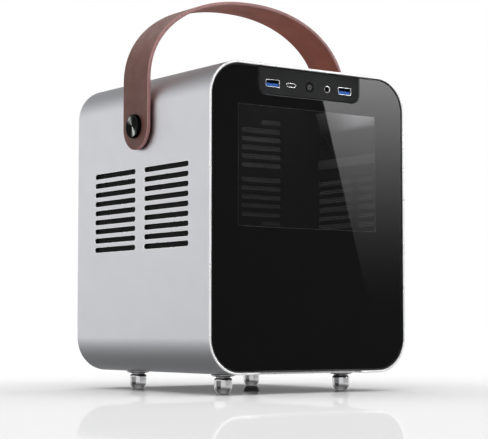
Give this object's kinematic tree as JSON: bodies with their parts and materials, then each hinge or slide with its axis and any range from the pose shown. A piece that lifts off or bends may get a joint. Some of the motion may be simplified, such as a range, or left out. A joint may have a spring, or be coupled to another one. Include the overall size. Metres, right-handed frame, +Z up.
{
  "type": "desktop computer tower",
  "caption": "Compact upright computer case: rounded aluminium wrap-round shell with slotted sides, dark glass front with ports along its top, leather carrying strap and turned metal feet.",
  "frame": {"origin": "on the floor under the centre of the shell: the bottom centre of the bounding box", "axes": "+Z up, -Y out of the glass front, +X to the right seen from the front"},
  "size_m": [0.2008, 0.191, 0.308],
  "materials": {
    "aluminium_shell": "fine bead-blasted silver",
    "foot_metal": "turned and polished",
    "leather": "smooth reddish-brown leather with raw edges",
    "dark_screw": "black anodised, spun face",
    "tinted_glass": "polished, black print round a clear window",
    "black_steel": "fine black powder coat",
    "black_plastic": "fine moulded texture",
    "steel": "plain plated steel",
    "blue_plastic": "satin",
    "circuit_board": "dark solder mask",
    "fin_aluminium": "bare stamped fins",
    "dark_case": "dark anodised",
    "cable": "matt black sleeve"
  },
  "bodies": {
    "case": {"audio_jack": "steel", "audio_stack": "steel", "board_tray": "black_steel", "card_slot": "black_plastic", "cooler_fan_frame": "black_plastic", "cooler_heatsink": "fin_aluminium", "cpu": "steel", "drive_plate": "black_steel", "exhaust_fan_frame": "black_plastic", "flat_drive": "dark_case", "foot_front_left": "foot_metal", "foot_front_right": "foot_metal", "foot_rear_left": "foot_metal", "foot_rear_right": "foot_metal", "front_frame": "black_steel", "handle_nut_left": "steel", "handle_nut_right": "steel", "handle_screw_left": "dark_screw", "handle_screw_right": "dark_screw", "io_shield": "steel", "m2_drive": "circuit_board", "main_board": "circuit_board", "mains_inlet": "black_plastic", "memory_module_1": "dark_case", "memory_module_2": "dark_case", "memory_slot_1": "black_plastic", "memory_slot_2": "black_plastic", "network_stack": "steel", "outer_shell": "aluminium_shell", "port_board": "circuit_board", "port_lead": "cable", "port_plate": "black_plastic", "power_lead": "cable", "power_socket": "black_plastic", "power_switch": "black_plastic", "rear_panel": "black_steel", "rear_screw_1": "dark_screw", "rear_screw_2": "dark_screw", "rear_screw_3": "dark_screw", "rear_screw_4": "dark_screw", "slot_cover": "steel", "supply_case": "black_steel", "supply_fan_frame": "black_plastic", "usb_c_socket": "steel", "usb_shell_left": "steel", "usb_shell_right": "steel", "usb_stack": "steel", "usb_tongue_left": "blue_plastic", "usb_tongue_right": "blue_plastic", "video_stack": "steel"},
    "front_panel": {"front_glass": "tinted_glass"},
    "power_button": {"power_button": "black_plastic"},
    "handle": {"handle_strap": "leather"},
    "exhaust_impeller": {"exhaust_fan_rotor": "black_plastic"},
    "cooler_impeller": {"cooler_fan_rotor": "black_plastic"},
    "supply_impeller": {"supply_fan_rotor": "black_plastic"},
    "mains_rocker": {"mains_rocker": "black_plastic"},
    "memory_latch_1": {"memory_latch_1": "black_plastic"},
    "memory_latch_2": {"memory_latch_2": "black_plastic"}
  },
  "joints": [
    {"name": "front_panel_pull", "type": "slide", "parent": "case", "child": "front_panel", "axis": [0, -1, 0], "range_m": [0, 0.03]},
    {"name": "power_button_press", "type": "slide", "parent": "case", "child": "power_button", "axis": [0, 1, 0], "range_m": [0, 0.0008], "stiffness_N_per_m": 900},
    {"name": "handle_tilt", "type": "hinge", "parent": "case", "child": "handle", "pos_m": [0, 0, 0.2032], "axis": [1, 0, 0], "range_deg": [-40, 40]},
    {"name": "exhaust_fan_spin", "type": "hinge", "parent": "case", "child": "exhaust_impeller", "pos_m": [0.02, 0.078, 0.176], "axis": [0, 1, 0], "continuous": true},
    {"name": "cooler_fan_spin", "type": "hinge", "parent": "case", "child": "cooler_impeller", "pos_m": [0.008, 0.02, 0.107], "axis": [0, 0, 1], "continuous": true},
    {"name": "supply_fan_spin", "type": "hinge", "parent": "case", "child": "supply_impeller", "pos_m": [0.02, 0.083, 0.03775], "axis": [0, 1, 0], "continuous": true},
    {"name": "mains_rocker_tip", "type": "hinge", "parent": "case", "child": "mains_rocker", "pos_m": [-0.0045, 0.0884, 0.03775], "axis": [1, 0, 0], "range_deg": [-20, 0]},
    {"name": "memory_latch_1_open", "type": "hinge", "parent": "case", "child": "memory_latch_1", "pos_m": [0.066, -0.0735, 0.073], "axis": [1, 0, 0], "range_deg": [0, 25]},
    {"name": "memory_latch_2_open", "type": "hinge", "parent": "case", "child": "memory_latch_2", "pos_m": [0.076, -0.0735, 0.073], "axis": [1, 0, 0], "range_deg": [0, 25]}
  ]
}
